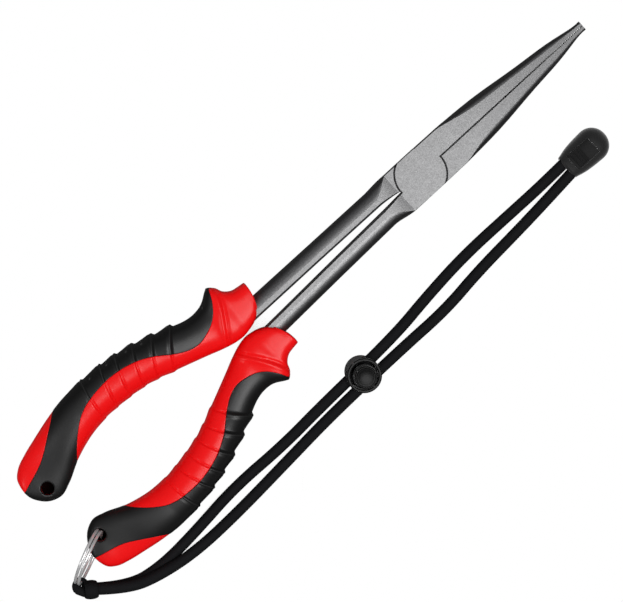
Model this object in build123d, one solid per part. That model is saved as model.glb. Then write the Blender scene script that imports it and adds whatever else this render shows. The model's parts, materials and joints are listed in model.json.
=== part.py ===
from build123d import *
import math
import os

# Long-reach fishing pliers with a lanyard, lying flat, in millimetres.
# While the pieces are made, X runs from the pivot to the jaw tips, Y across the tool, Z up from the
# surface that it lies on. The whole set is moved at the end, so that the origin is under the middle
# of the pliers and their split ring.

# Driving dimensions: pliers
MID_Z = 8.85             # height of the plane where the two halves meet
TIP_X = 85.0             # jaw tips
HEAD_HALF_WIDTH = 9.2
HEAD_HALF_HEIGHT = 4.9
LAP_R = 10.2             # round lap joint
LAP_CLEARANCE = 0.15
LAYER_GAP = 0.03         # each half stays this far from the meeting plane
JAW_GAP = 0.05           # each jaw face stays this far from the closing line
SEAM_BEVEL = 0.3
PIN_R = 3.2
PIN_CLEARANCE = 0.05
PIN_HEAD_R = 5.0
TOOTH_PITCH = 0.8
TOOTH_DEPTH = 0.35
TEETH_START_X = 44.0
TANG_HALF_HEIGHT = 3.0
SPREAD_AT_COLLAR = 0.9   # the right handle stands out from the mirror image of the left one
SPREAD_SLOPE = 0.11
SLEEVE_T = 2.4           # rubber over the hard core

# Driving dimensions: lanyard
HOLE_R = 2.85
RING_R = 10.9            # mean radius of the split ring
RING_RADIAL = 1.3
RING_AXIAL = 2.7
RING_LEAN = 7.0
RING_LIFT = 2.85         # ring centre above the meeting plane
RING_INSET = 1.45        # ring wire stands off the middle of the hole
RING_ASIDE = 0.35        # and a little to the side, clear of the hole's lower rim
HITCH_REACH = 19.3       # from the hole to the middle of the hitch's eye
HITCH_EAR_R = 5.0
HITCH_EYE_R = 3.3
CORD_R = 2.15
LOCK_X = -68.5
LOCK_Y = -42.0
LOCK_LEAN = 7.0
LOCK_Z = 8.65
BUTTON_TRAVEL = 2.0
LOCK_SLOT = 9.8          # wide enough for the two legs side by side
END_Y = -37.0
END_HEIGHT = 9.0
HINGE_X = 57.0           # lid hinge of the cord end
HINGE_Z = 7.9

# Sections of the jaws: place, half width of the flat face, half width, half height.
JAW = [(14, 8.75, 9.05, 4.9), (20, 8.0, 8.95, 4.9), (26, 6.6, 8.7, 4.85), (32, 5.5, 8.35, 4.75),
       (45, 4.2, 6.95, 4.3), (60, 2.9, 5.2, 3.5), (75, 1.75, 3.3, 2.45), (TIP_X, 1.1, 2.1, 1.7)]
# Sections of the shanks: place, inner face, end of the flat strip, outer edge, half height.
NECK_LEFT = [(-11, 0.5, 8.9, 9.2, 4.9), (-14, 0.9, 7.0, 9.3, 4.4), (-17, 1.2, 5.0, 9.15, 4.1),
             (-21, 1.35, 4.0, 8.85, 4.0)]
NECK_RIGHT = [(-11, 0.4, 8.9, 9.2, 4.9), (-14, 0.5, 6.6, 8.9, 4.4), (-17, 0.65, 4.6, 8.3, 4.1),
              (-21, 0.8, 3.6, 8.0, 4.0)]
SHANK_LEFT = [(-21, 1.35, 4.0, 8.85, 4.0), (-50, 1.5, 4.0, 8.95, 4.0), (-92, 1.5, 4.2, 9.15, 4.0)]
SHANK_RIGHT = [(-21, 0.8, 3.6, 8.0, 4.0), (-50, 1.75, 4.3, 8.8, 4.0), (-92, 3.3, 5.6, 10.2, 4.0)]

# Outline of the left grip, from the tail along the outside, round the collar and back inside.
GRIP_OUTER = [(-196, 12.5), (-193.5, 19.5), (-185, 23.7), (-170, 27.7), (-153, 29.6), (-141, 28.9),
              (-128, 26.4), (-117, 22.8), (-108, 19.9), (-101.5, 19.1), (-95, 20.8), (-91, 22.9)]
GRIP_LIP = [(-91, 22.9), (-88.3, 21), (-86.6, 17.8), (-83.5, 15.9), (-79, 15.2)]
GRIP_FRONT = [(-79, 15.2), (-79.8, 9.4), (-83.1, 2.9), (-88, 0.6)]
GRIP_INNER = [(-88, 0.6), (-92, -0.2), (-99.2, 0.9), (-109.7, 4.1), (-119.4, 7.4), (-128.2, 10.2),
              (-139.5, 12.2), (-151.6, 12.6), (-162.1, 11.2), (-172.2, 7.9), (-180.6, 3.7),
              (-186.3, 2.0), (-190.3, 2.9), (-193.8, 6.4), (-196, 12.5)]
GRIP_HOLE = (-188.1, 7.8)
# Half thickness of the grip along its length.
GRIP_HALF_T = [(-77, 6.4), (-88, 7.0), (-98, 7.3), (-110, 7.7), (-127, 8.5), (-145, 8.85),
               (-160, 8.5), (-172, 7.4), (-181, 5.5), (-188, 4.4), (-198, 3.7)]
# Where the rubber ends on the flat of the grip: the long edge, then the edge at the tail.
SLEEVE_EDGE = [(-90.2, 23.2), (-93.5, 16.6), (-99.2, 11.6), (-107.5, 9.4), (-115.3, 12.0),
               (-123.4, 17.9), (-131.5, 21.5), (-143.5, 23.1), (-155.6, 21.1), (-163.7, 16.6),
               (-172.2, 8.2)]
TAIL_EDGE = [(-196.2, 12.4), (-187.1, 15.4), (-177.4, 20.7), (-166.5, 28.6)]
TANG_OUTER = [(-84, 8.3), (-100, 12.8), (-115, 16.6), (-130, 21), (-150, 23)]
TANG_INNER = [(-150, 17), (-130, 14.5), (-115, 10), (-100, 6.4), (-84, 2.8)]

# Routes of the two legs of the cord, from the hitch to the cord end. Leg b starts on top of leg a.
LEG_A = [(-201.2, -33.2, 6.2), (-190, -40.6, 4.2), (-176, -43.4, 2.5), (-158, -42.8, 2.2),
         (-135, -40.6, 2.2), (-110, -41.0, 2.2), (-88, -39.4, 8.97), (-50, -39.4, 8.97),
         (-29, -36.3, 2.3), (-8, -34.2, 2.2), (16, -34.4, 2.2), (33, -34.5, 3.9), (48.2, -34.8, 4.4)]
LEG_B = [(-201.2, -33.2, 10.9), (-190, -40.8, 9.1), (-178, -45.4, 6.9), (-162, -48.6, 2.4),
         (-140, -48.5, 2.2), (-113, -46.6, 2.2), (-88, -44.6, 8.33), (-50, -44.6, 8.33),
         (-28, -44.9, 2.3), (-8, -42.6, 2.2), (14, -41.4, 2.2), (32, -39.9, 3.8), (48.2, -39.2, 4.4)]


def spread(point):
    """The right handle: mirror image of the left one, bent further out behind the collar."""
    x, y = point
    behind = max(0.0, -92.0 - x)
    bend = SPREAD_AT_COLLAR + SPREAD_SLOPE * behind
    forward = 0.00025 * max(0.0, -88.0 - x) ** 2
    return (x + forward, -y - bend)


def left(point):
    return point


def section(x, y_in, y_flat, y_out, half, bevel, side):
    """Flat above and below, bevelled at the inner edges, with a rounded outer flank."""
    def at(y, z):
        return Vector(x, side * y, MID_Z + z)
    pull = 0.55
    shoulder = y_flat + pull * (y_out - y_flat)
    edges = [Line(at(y_in, bevel - half), at(y_in, half - bevel)),
             Line(at(y_in, half - bevel), at(y_in + bevel, half)),
             Line(at(y_in + bevel, half), at(y_flat, half)),
             Bezier(at(y_flat, half), at(shoulder, half), at(y_out, pull * half), at(y_out, 0)),
             Bezier(at(y_out, 0), at(y_out, -pull * half), at(shoulder, -half), at(y_flat, -half)),
             Line(at(y_flat, -half), at(y_in + bevel, -half)),
             Line(at(y_in + bevel, -half), at(y_in, bevel - half))]
    return Wire([edge.edge() for edge in edges])


def jaw(side):
    root = [section(x, JAW_GAP, flat, width, HEAD_HALF_HEIGHT, SEAM_BEVEL, side)
            for x, flat, width in [(0, 8.9, HEAD_HALF_WIDTH), (14, 8.75, 9.05)]]
    nose = [section(x, JAW_GAP, flat, width, half, SEAM_BEVEL * half / HEAD_HALF_HEIGHT, side)
            for x, flat, width, half in JAW]
    return Solid.make_loft(root, True) + Solid.make_loft(nose) - teeth(side)


def teeth(side):
    """A comb of fine grooves across the gripping face."""
    count = int((TIP_X - 1 - TEETH_START_X) / TOOTH_PITCH)
    points = [(TEETH_START_X, 0)]
    for i in range(count):
        x = TEETH_START_X + i * TOOTH_PITCH
        points += [(x + TOOTH_PITCH / 2, side * (JAW_GAP + TOOTH_DEPTH)), (x + TOOTH_PITCH, 0)]
    comb = make_face(Polyline(*points, close=True))
    return extrude(Pos(0, 0, MID_Z - 6) * comb, 12)


def shank(neck, run, side):
    root = [section(x, y_in, 8.9, HEAD_HALF_WIDTH, HEAD_HALF_HEIGHT, SEAM_BEVEL, side)
            for x, y_in in [(0, JAW_GAP), (neck[0][0], neck[0][1])]]
    bevels = [SEAM_BEVEL, 0.5, 0.7, 0.8]
    throat = [section(*place, bevel, side) for place, bevel in zip(neck, bevels)]
    arm = [section(*place, 0.8, side) for place in run]
    return Solid.make_loft(root, True) + Solid.make_loft(throat) + Solid.make_loft(arm, True)


def outline(place, *lines):
    """A closed flat face from runs of points, each run a smooth curve."""
    edges = []
    for points in lines:
        moved = [place(point) for point in points]
        edges.append(Line(*moved) if len(moved) == 2 else Spline(*moved))
    return make_face(Curve() + edges)


def tang(place):
    """The flat bar inside the grip."""
    face = outline(place, TANG_OUTER, [TANG_OUTER[-1], TANG_INNER[0]], TANG_INNER,
                   [TANG_INNER[-1], TANG_OUTER[0]])
    return extrude(Pos(0, 0, MID_Z - TANG_HALF_HEIGHT) * face, 2 * TANG_HALF_HEIGHT)


def lap_disc(direction):
    """The round cheek of one half, above or below the meeting plane."""
    height = HEAD_HALF_HEIGHT - LAYER_GAP
    disc = Cylinder(LAP_R, height, align=(Align.CENTER, Align.CENTER, Align.MIN))
    disc = chamfer(disc.edges().group_by(Axis.Z)[-1], SEAM_BEVEL)
    disc &= Box(30, 2 * HEAD_HALF_WIDTH - 0.3, 30)
    if direction < 0:
        disc = Rot(180, 0, 0) * disc
    return Pos(0, 0, MID_Z + direction * LAYER_GAP) * disc


def lap_pocket(direction):
    """The room that the other half's cheek turns in."""
    radius = LAP_R + LAP_CLEARANCE
    depth = HEAD_HALF_HEIGHT + LAYER_GAP
    pocket = Cylinder(radius, depth + 1, align=(Align.CENTER, Align.CENTER, Align.MIN))
    pocket += Pos(0, 0, depth - SEAM_BEVEL) * Cone(radius, radius + 1.3, 1.3,
                                                   align=(Align.CENTER, Align.CENTER, Align.MIN))
    if direction < 0:
        pocket = Rot(180, 0, 0) * pocket
    return Pos(0, 0, MID_Z - direction * LAYER_GAP) * pocket


def pivot_pin(clearance):
    """A countersunk pin put in from below, so that the upper face stays whole."""
    shaft_top = MID_Z + 3.4
    base = MID_Z - HEAD_HALF_HEIGHT
    shaft = Pos(0, 0, base) * Cylinder(PIN_R + clearance, shaft_top - base,
                                       align=(Align.CENTER, Align.CENTER, Align.MIN))
    head = Pos(0, 0, base) * Cone(PIN_HEAD_R + clearance, PIN_R + clearance, PIN_HEAD_R - PIN_R,
                                  align=(Align.CENTER, Align.CENTER, Align.MIN))
    return shaft + head


def upper_half():
    body = jaw(1) + shank(NECK_RIGHT, SHANK_RIGHT, -1)
    body = body - lap_pocket(-1) + lap_disc(1) + tang(spread)
    return body - pivot_pin(0)


def lower_half():
    body = jaw(-1) + shank(NECK_LEFT, SHANK_LEFT, 1)
    body = body - lap_pocket(1) + lap_disc(-1) + tang(left)
    return body - pivot_pin(PIN_CLEARANCE)


def side_profile(inset):
    """Seen from the side, the grip swells at the belly and thins to the tail."""
    top = [(x, MID_Z + half - inset) for x, half in GRIP_HALF_T]
    bottom = [(x, MID_Z - half + inset) for x, half in reversed(GRIP_HALF_T)]
    face = make_face(Curve() + [Spline(*top), Line(top[-1], bottom[0]), Spline(*bottom),
                                Line(bottom[-1], top[0])])
    return extrude(Plane.XZ * face, 100, both=True)


def recess_outline(place):
    """The outline that the rubber is bedded on, drawn in from the grip's outline."""
    ring = GRIP_OUTER[:-1] + GRIP_LIP[2:4] + GRIP_FRONT[:-1] + GRIP_INNER[:-1]
    drawn_in = []
    for before, here, after in zip(ring[-1:] + ring[:-1], ring, ring[1:] + ring[:1]):
        along = (Vector(*after) - Vector(*before)).normalized()
        drawn_in.append(place((here[0] + SLEEVE_T * along.Y, here[1] - SLEEVE_T * along.X)))
    return make_face(Polyline(*drawn_in, close=True))


def grip(place, steel):
    """The hard core over the tang, and the rubber sleeve in its recess."""
    plan = outline(place, GRIP_OUTER, GRIP_LIP, GRIP_FRONT, GRIP_INNER)
    inner_plan = recess_outline(place)
    whole = extrude(plan, 20) & side_profile(0)
    inside = extrude(inner_plan, 20) & side_profile(SLEEVE_T)
    around = [TAIL_EDGE[-1], (-165, 36), (-95, 36), SLEEVE_EDGE[0]]
    tail = [SLEEVE_EDGE[-1], (-175, -2), (-200, -2), TAIL_EDGE[0]]
    corners = [[a, b] for run in (around, tail) for a, b in zip(run, run[1:])]
    rubber = extrude(outline(place, TAIL_EDGE, *corners[:3], SLEEVE_EDGE, *corners[3:]), 20)
    hole_x, hole_y = place(GRIP_HOLE)
    hole = Pos(hole_x, hole_y, MID_Z) * Cylinder(HOLE_R, 30)
    sleeve = (whole & rubber) - inside - hole - steel
    core = whole - ((whole & rubber) - inside) - hole - steel
    return core, sleeve


def ring_direction():
    """Unit vectors of the ring: level and outward, up its plane, and along its axis."""
    out = Vector(-0.9066, -0.422, 0).normalized()
    beside = Vector(-out.Y, out.X, 0)
    lean = math.radians(RING_LEAN)
    up = Vector(0, 0, 1) * math.cos(lean) - beside * math.sin(lean)
    return out, up, out.cross(up)


def ring_centre():
    out, up, axis = ring_direction()
    hole_x, hole_y = spread(GRIP_HOLE)
    beside = Vector(-out.Y, out.X, 0)
    return (Vector(hole_x, hole_y, MID_Z) + out * (RING_R - RING_INSET) + up * RING_LIFT
            - beside * RING_ASIDE)


def split_ring():
    """Two flat turns side by side, with the groove between them."""
    out, up, axis = ring_direction()
    wire = Pos(RING_R, 0) * RectangleRounded(RING_RADIAL, RING_AXIAL, 0.4)
    for edge in (-RING_RADIAL / 2, RING_RADIAL / 2):
        wire -= Pos(RING_R + edge, 0) * Rectangle(0.4, 0.2)
    ring = revolve(Plane.XZ * wire, Axis.Z)
    return Plane(ring_centre(), x_dir=out, z_dir=axis).location * ring


def hitch_axis():
    out, up, axis = ring_direction()
    hole_x, hole_y = spread(GRIP_HOLE)
    return Vector(hole_x, hole_y, 0) + out * HITCH_REACH


def hitch():
    """The cord folded round the ring and drawn tight over its own two legs."""
    place = hitch_axis()
    low, high = 5.0, 13.0
    ear = Pos(place.X, place.Y, low) * Cylinder(HITCH_EAR_R, high - low,
                                                align=(Align.CENTER, Align.CENTER, Align.MIN))
    band = Pos(-202.4, -32.3, 8.5) * Rot(0, 0, -35) * Box(5.4, 6.4, 10.6)
    band = fillet(band.edges().filter_by(Axis.Z), 1.2)
    eye = Pos(place.X, place.Y, low) * Cylinder(HITCH_EYE_R, 2 * high)
    return ear + band - eye


def rounded_route(name, points):
    """Straight runs joined by arcs as large as the runs allow, swept with the round cord."""
    places = [Vector(*point) for point in points]
    radii = []
    for before, here, after in zip(places, places[1:], places[2:]):
        first, second = here - before, after - here
        half_turn = math.radians(first.get_angle(second)) / 2
        radii.append(0.45 * min(first.length, second.length) / math.tan(half_turn))
    path = FilletPolyline(*places, radius=radii)
    start = Plane(places[0], z_dir=places[1] - places[0])
    tube = sweep(start * Circle(CORD_R), path=path.wire())
    exact = math.pi * CORD_R ** 2 * path.wire().length
    print(name, "radii", [round(radius, 1) for radius in radii])
    print(name, "length", round(path.wire().length, 1), "volume ratio", round(tube.volume / exact, 4))
    return tube


def in_lock(shape):
    return Pos(LOCK_X, LOCK_Y, LOCK_Z) * Rot(LOCK_LEAN, 0, 0) * shape


def barrel():
    """The outer cup of the cord lock, with a slot across it for the two legs."""
    base, top, radius, bore = -7.6, 6.3, 6.3, 5.45
    low = (Align.CENTER, Align.CENTER, Align.MIN)
    cup = Pos(0, 0, base) * Cylinder(radius, top - base, align=low)
    cup = fillet(cup.edges().group_by(Axis.Z)[0], 0.8)
    cup += Pos(0, 0, top - 2.2) * Cylinder(6.85, 2.2, align=low)
    cup = fillet(cup.edges().group_by(Axis.Z)[-1], 0.5)
    cup -= Pos(0, 0, base + 1.0) * Cylinder(bore, 30, align=low)
    return in_lock(cup - Box(30, LOCK_SLOT, 4.8))


def button():
    """The plunger: its slot lets the cord through when it is pressed down."""
    low = (Align.CENTER, Align.CENTER, Align.MIN)
    plunger = Pos(0, 0, -3.4) * Cylinder(5.4, 9.0, align=low)
    plunger += Pos(0, 0, 5.6) * Cylinder(4.65, 3.0, align=low)
    plunger = fillet(plunger.edges().group_by(Axis.Z)[-1], 1.0)
    slot_low, slot_high = -2.35, 2.35 + BUTTON_TRAVEL
    slot = Pos(0, 0, (slot_low + slot_high) / 2) * Box(30, LOCK_SLOT, slot_high - slot_low)
    return in_lock(plunger - slot)


def lock_spring():
    wire_r, radius, height = 0.25, 3.6, 2.6
    coil = Helix(pitch=0.95, height=height, radius=radius)
    section_plane = Plane(coil @ 0, z_dir=coil % 0)
    spring = sweep(section_plane * Circle(wire_r), path=coil)
    return in_lock(Pos(0, 0, -6.3) * spring)


def end_outline():
    """Seen from above: a straight mouth, shoulders, and a round far end."""
    shoulder, far = (48.5, 6.2), 63.7
    points = [(43.5, 4.9), (45.2, 4.9), shoulder, (57, 6.8)]
    edges = [Line(a, b) for a, b in zip(points, points[1:])]
    edges += [Line((x, -y), (u, -v)) for (x, y), (u, v) in zip(points, points[1:])]
    edges += [Line((43.5, -4.9), (43.5, 4.9)), ThreePointArc((57, 6.8), (far, 0), (57, -6.8))]
    return make_face(Curve() + edges)


def end_shell():
    """The closed cup that holds the knot, with a recess for its lid."""
    body = extrude(end_outline(), END_HEIGHT - 0.1)
    body = fillet(body.edges().filter_by(Axis.Z).sort_by(Axis.X)[4:], 2.0)
    body = fillet(body.edges().group_by(Axis.Z)[-1] + body.edges().group_by(Axis.Z)[0], 1.8)
    knot_room = Pos(52.2, 0, 4.5) * Box(8.4, 6.8, 5.8)
    mouth = Pos(45.6, 0, 4.3) * Box(6.0, 9.0, 4.6)
    lid_seat = Pos((46.2 + HINGE_X) / 2, 0, 9.2) * Box(HINGE_X - 46.2, 7.9, 4.0)
    knuckle = Pos(HINGE_X, 0, HINGE_Z) * Rot(90, 0, 0) * Cylinder(1.2, 7.9)
    above = Pos(HINGE_X, 0, HINGE_Z + 2) * Box(2.4, 7.9, 4.0)
    pin_holes = Pos(HINGE_X, 0, HINGE_Z) * Rot(90, 0, 0) * Cylinder(0.55, 9.7)
    body -= knot_room + mouth + lid_seat + knuckle + above + pin_holes
    return Pos(0, END_Y, 0.1) * body


def end_lid():
    plate = Pos((46.6 + HINGE_X) / 2, 0, 8.05) * Box(HINGE_X - 46.6, 7.4, 1.5)
    for x in (48.4, 49.9, 51.4):
        plate -= Pos(x, 0, 8.8) * Box(0.6, 6.0, 0.5)
    barrel_rod = Pos(HINGE_X, 0, HINGE_Z) * Rot(90, 0, 0) * Cylinder(0.85, 7.4)
    pins = Pos(HINGE_X, 0, HINGE_Z) * Rot(90, 0, 0) * Cylinder(0.5, 9.1)
    return Pos(0, END_Y, 0.1) * (plate + barrel_rod + pins)


def end_knot():
    knot = Pos(51.5, 0, 4.3) * Box(6.2, 6.4, 5.0)
    return Pos(0, END_Y, 0.1) * fillet(knot.edges(), 2.2)


upper = upper_half()
lower = lower_half()
right_core, right_sleeve = grip(spread, upper)
left_core, left_sleeve = grip(left, lower)
pliers = {
    "upper_jaw_half": upper,
    "lower_jaw_half": lower,
    "pivot_pin": pivot_pin(0),
    "left_grip_core": left_core,
    "left_grip_sleeve": left_sleeve,
    "right_grip_core": right_core,
    "right_grip_sleeve": right_sleeve,
    "split_ring": split_ring(),
}
lanyard = {
    "hitch_knot": hitch(),
    "cord_leg_a": rounded_route("leg a", LEG_A),
    "cord_leg_b": rounded_route("leg b", LEG_B),
    "lock_barrel": barrel(),
    "lock_button": button(),
    "lock_spring": lock_spring(),
    "cord_end_shell": end_shell(),
    "cord_end_lid": end_lid(),
    "cord_end_knot": end_knot(),
}

box = Compound(children=[Compound([piece]) for piece in pliers.values()]).bounding_box()
origin = Pos(-(box.min.X + box.max.X) / 2, -(box.min.Y + box.max.Y) / 2, -box.min.Z)
print("origin is at", origin.position, "from the pivot")
os.makedirs("parts", exist_ok=True)
for name, piece in {**pliers, **lanyard}.items():
    export_step(origin * piece, f"parts/{name}.step")
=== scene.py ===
import json
import math

import bmesh
import bpy
import numpy as np
from mathutils import Matrix, Vector

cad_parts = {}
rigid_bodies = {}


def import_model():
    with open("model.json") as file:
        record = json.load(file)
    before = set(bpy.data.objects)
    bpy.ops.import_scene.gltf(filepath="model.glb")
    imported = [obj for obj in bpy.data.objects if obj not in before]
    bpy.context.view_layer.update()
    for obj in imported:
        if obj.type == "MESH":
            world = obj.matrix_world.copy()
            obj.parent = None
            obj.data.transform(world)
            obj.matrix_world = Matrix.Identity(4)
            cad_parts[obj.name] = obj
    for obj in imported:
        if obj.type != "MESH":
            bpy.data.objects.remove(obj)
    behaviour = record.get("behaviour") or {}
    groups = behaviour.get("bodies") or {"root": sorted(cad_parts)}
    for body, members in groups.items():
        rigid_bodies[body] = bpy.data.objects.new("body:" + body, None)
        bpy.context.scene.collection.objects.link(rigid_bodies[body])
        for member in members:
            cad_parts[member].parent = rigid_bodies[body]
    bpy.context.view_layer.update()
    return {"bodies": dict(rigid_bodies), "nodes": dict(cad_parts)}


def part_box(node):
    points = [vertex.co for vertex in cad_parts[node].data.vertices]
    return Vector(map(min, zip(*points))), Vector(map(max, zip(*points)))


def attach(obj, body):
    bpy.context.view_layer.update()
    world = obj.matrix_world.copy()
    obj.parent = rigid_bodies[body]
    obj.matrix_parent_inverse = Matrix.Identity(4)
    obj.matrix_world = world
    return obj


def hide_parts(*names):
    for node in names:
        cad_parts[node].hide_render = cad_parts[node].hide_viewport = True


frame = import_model()
nodes = frame["nodes"]


# ---- The bench and the light ----
# A pale sheet under the pliers, a wide soft box overhead, a small one behind and a dim surround, so
# that flat steel shines and its rounded flanks stay dark. The view is from above with a long lens.

pin_low, pin_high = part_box("pivot_pin")
pivot = Vector(((pin_low.x + pin_high.x) / 2, (pin_low.y + pin_high.y) / 2, 0))
head_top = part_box("upper_jaw_half")[1].z
MM = 0.001


def at(x, y, z=0.0):
    """A place in metres, from millimetres along, across and above the pivot's foot."""
    return pivot + Vector((x, y, z)) * MM


def put(name, data):
    """A new object in the scene that carries the data."""
    thing = bpy.data.objects.new(name, data)
    bpy.context.collection.objects.link(thing)
    return thing


def soft_box(name, place, aim, size, watts):
    """A round lamp of a chosen width that faces its aim."""
    data = bpy.data.lights.new(name, "AREA")
    data.shape, data.size, data.energy = "DISK", size, watts
    lamp = put(name, data)
    lamp.location = place
    lamp.rotation_euler = (aim - place).to_track_quat("-Z", "Y").to_euler()


def add_node(tree, kind, **values):
    """A node of a kind, with some of its inputs set."""
    node = tree.nodes.new(kind)
    for label, value in values.items():
        node.inputs[label.replace("_", " ")].default_value = value
    return node


def ramp(tree, *stops):
    """A ramp between two stops, each a place and a colour."""
    node = add_node(tree, "ShaderNodeValToRGB")
    for element, (place, colour) in zip(node.color_ramp.elements, stops):
        element.position = place
        element.color = (*colour, 1)
    return node


def colour_mix(tree, **colours):
    """A mix of two colours, A and B."""
    node = add_node(tree, "ShaderNodeMix")
    node.data_type = "RGBA"
    for label, colour in colours.items():
        node.inputs[label].default_value = (*colour, 1)
    return node


VIEW_TURN = math.radians(42.46)    # the closing line of the jaws leans this much in the view
VIEW_TILT = math.radians(3.0)
VIEW_WIDTH = 0.2403
VIEW_DISTANCE = 1.6
SENSOR = 36.0

back = Vector((0, math.sin(VIEW_TILT), math.cos(VIEW_TILT)))
level = Vector((math.sin(VIEW_TURN), math.cos(VIEW_TURN), 0))
up = (level - back * level.dot(back)).normalized()
right = up.cross(back)
target = at(-64.1, -7.6, head_top / MM)
camera_data = bpy.data.cameras.new("camera")
camera_data.sensor_width = SENSOR
camera_data.lens = SENSOR * VIEW_DISTANCE / VIEW_WIDTH
camera_data.clip_end = 20
camera = put("camera", camera_data)
camera.matrix_world = Matrix((right, up, back)).transposed().to_4x4()
camera.location = target + back * VIEW_DISTANCE
bpy.context.scene.camera = camera
bpy.context.scene.view_settings.view_transform = "Standard"

middle = at(-60, -8)
soft_box("overhead", middle + Vector((0.05, -0.30, 1.15)), middle, 0.62, 8.0)
soft_box("behind", middle + Vector((-0.75, 0.25, 0.75)), middle, 0.30, 1.2)

world = bpy.data.worlds.new("surround")
bpy.context.scene.world = world
world.use_nodes = True
tree = world.node_tree
link = tree.links.new
place_node = add_node(tree, "ShaderNodeTexCoord")
split = add_node(tree, "ShaderNodeSeparateXYZ")
sky = ramp(tree, (0.3, (0.02, 0.02, 0.02)), (0.95, (0.42, 0.42, 0.43)))
ray = add_node(tree, "ShaderNodeLightPath")
choose = colour_mix(tree, A=(0.34, 0.34, 0.345))
link(place_node.outputs["Generated"], split.inputs[0])
link(split.outputs["Z"], sky.inputs[0])
link(ray.outputs["Is Glossy Ray"], choose.inputs["Factor"])
link(sky.outputs["Color"], choose.inputs["B"])
link(choose.outputs["Result"], tree.nodes["Background"].inputs["Color"])

floor_mesh = bpy.data.meshes.new("floor")
reach = 3.0                        # the sheet runs well past every view
floor_mesh.from_pydata([(-reach, -reach, 0), (reach, -reach, 0), (reach, reach, 0), (-reach, reach, 0)],
                       [], [(0, 1, 2, 3)])
floor = put("floor", floor_mesh)
paper = bpy.data.materials.new("pale_paper_painted_shade")
paper.use_nodes = True
tree = paper.node_tree
link = tree.links.new
tree.nodes.clear()
# The sheet glows evenly white to the camera, with painted shade from a ramp on occlusion: dark in the tail
# holes and the tight gaps under the pliers. In reflections it is painted a dim grey.
cover = add_node(tree, "ShaderNodeAmbientOcclusion", Distance=0.03)
cover.samples = 16
painted_shade_ramp = ramp(tree, (0.03, (0.004, 0.004, 0.004)), (0.11, (1, 1, 1)))
lit = add_node(tree, "ShaderNodeEmission")
white = add_node(tree, "ShaderNodeBsdfDiffuse", Color=(0.75, 0.75, 0.75, 1))
dim = add_node(tree, "ShaderNodeBsdfDiffuse", Color=(0.10, 0.10, 0.10, 1))
ray = add_node(tree, "ShaderNodeLightPath")
reflected = add_node(tree, "ShaderNodeMixShader")
seen = add_node(tree, "ShaderNodeMixShader")
surface_out = add_node(tree, "ShaderNodeOutputMaterial")
link(cover.outputs["AO"], painted_shade_ramp.inputs[0])
link(painted_shade_ramp.outputs["Color"], lit.inputs["Color"])
link(ray.outputs["Is Glossy Ray"], reflected.inputs[0])
link(white.outputs[0], reflected.inputs[1])
link(dim.outputs[0], reflected.inputs[2])
link(ray.outputs["Is Camera Ray"], seen.inputs[0])
link(reflected.outputs[0], seen.inputs[1])
link(lit.outputs[0], seen.inputs[2])
link(seen.outputs[0], surface_out.inputs["Surface"])
floor_mesh.materials.append(paper)


# ---- Steel halves ----
# Two forged halves, ground flat on their cheeks, bead-blasted and given a grey coating, with the
# countersunk pin that joins them. The grain of the blasting shows as a fine speckle.

def new_group(name, inputs, outputs):
    """An empty node group with its sockets; returns the tree and its two end nodes."""
    group = bpy.data.node_groups.new(name, "ShaderNodeTree")
    for label, kind, value in inputs:
        socket = group.interface.new_socket(label, in_out="INPUT", socket_type=kind)
        if value is not None:
            socket.default_value = value
    for label, kind in outputs:
        group.interface.new_socket(label, in_out="OUTPUT", socket_type=kind)
    return group, group.nodes.new("NodeGroupInput"), group.nodes.new("NodeGroupOutput")


def grain_group():
    """Speckle of a chosen size: a coarse cloud and a fine grit, as a mask and as a height."""
    group, given, result = new_group(
        "fine_grain",
        [("Vector", "NodeSocketVector", None), ("Grain", "NodeSocketFloat", 2500.0),
         ("Cloud", "NodeSocketFloat", 90.0)],
        [("Speckle", "NodeSocketFloat"), ("Cloud", "NodeSocketFloat"), ("Height", "NodeSocketFloat")])
    link = group.links.new
    grit = add_node(group, "ShaderNodeTexNoise", Detail=3.0, Roughness=0.65)
    cloud = add_node(group, "ShaderNodeTexNoise", Detail=4.0)
    sharpen = add_node(group, "ShaderNodeMapRange", From_Min=0.3, From_Max=0.7)
    link(given.outputs["Vector"], grit.inputs["Vector"])
    link(given.outputs["Vector"], cloud.inputs["Vector"])
    link(given.outputs["Grain"], grit.inputs["Scale"])
    link(given.outputs["Cloud"], cloud.inputs["Scale"])
    link(grit.outputs["Fac"], sharpen.inputs["Value"])
    link(sharpen.outputs["Result"], result.inputs["Speckle"])
    link(cloud.outputs["Fac"], result.inputs["Cloud"])
    link(grit.outputs["Fac"], result.inputs["Height"])
    return group


def painted_glint_group():
    """A painted highlight: where edges stand out, as a mask that is broken up by a soft cloud."""
    group, given, result = new_group(
        "painted_edge_glint",
        [("Vector", "NodeSocketVector", None), ("Start", "NodeSocketFloat", 0.52),
         ("End", "NodeSocketFloat", 0.6)],
        [("Glint", "NodeSocketFloat")])
    link = group.links.new
    shape = add_node(group, "ShaderNodeNewGeometry")
    edge = add_node(group, "ShaderNodeMapRange")
    cloud = add_node(group, "ShaderNodeTexNoise", Scale=400.0)
    product = add_node(group, "ShaderNodeMath")
    product.operation = "MULTIPLY"
    link(shape.outputs["Pointiness"], edge.inputs["Value"])
    link(given.outputs["Start"], edge.inputs["From Min"])
    link(given.outputs["End"], edge.inputs["From Max"])
    link(given.outputs["Vector"], cloud.inputs["Vector"])
    link(edge.outputs["Result"], product.inputs[0])
    link(cloud.outputs["Fac"], product.inputs[1])
    link(product.outputs[0], result.inputs["Glint"])
    return group


GRAIN = grain_group()
GLINT_MASK = painted_glint_group()


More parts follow.
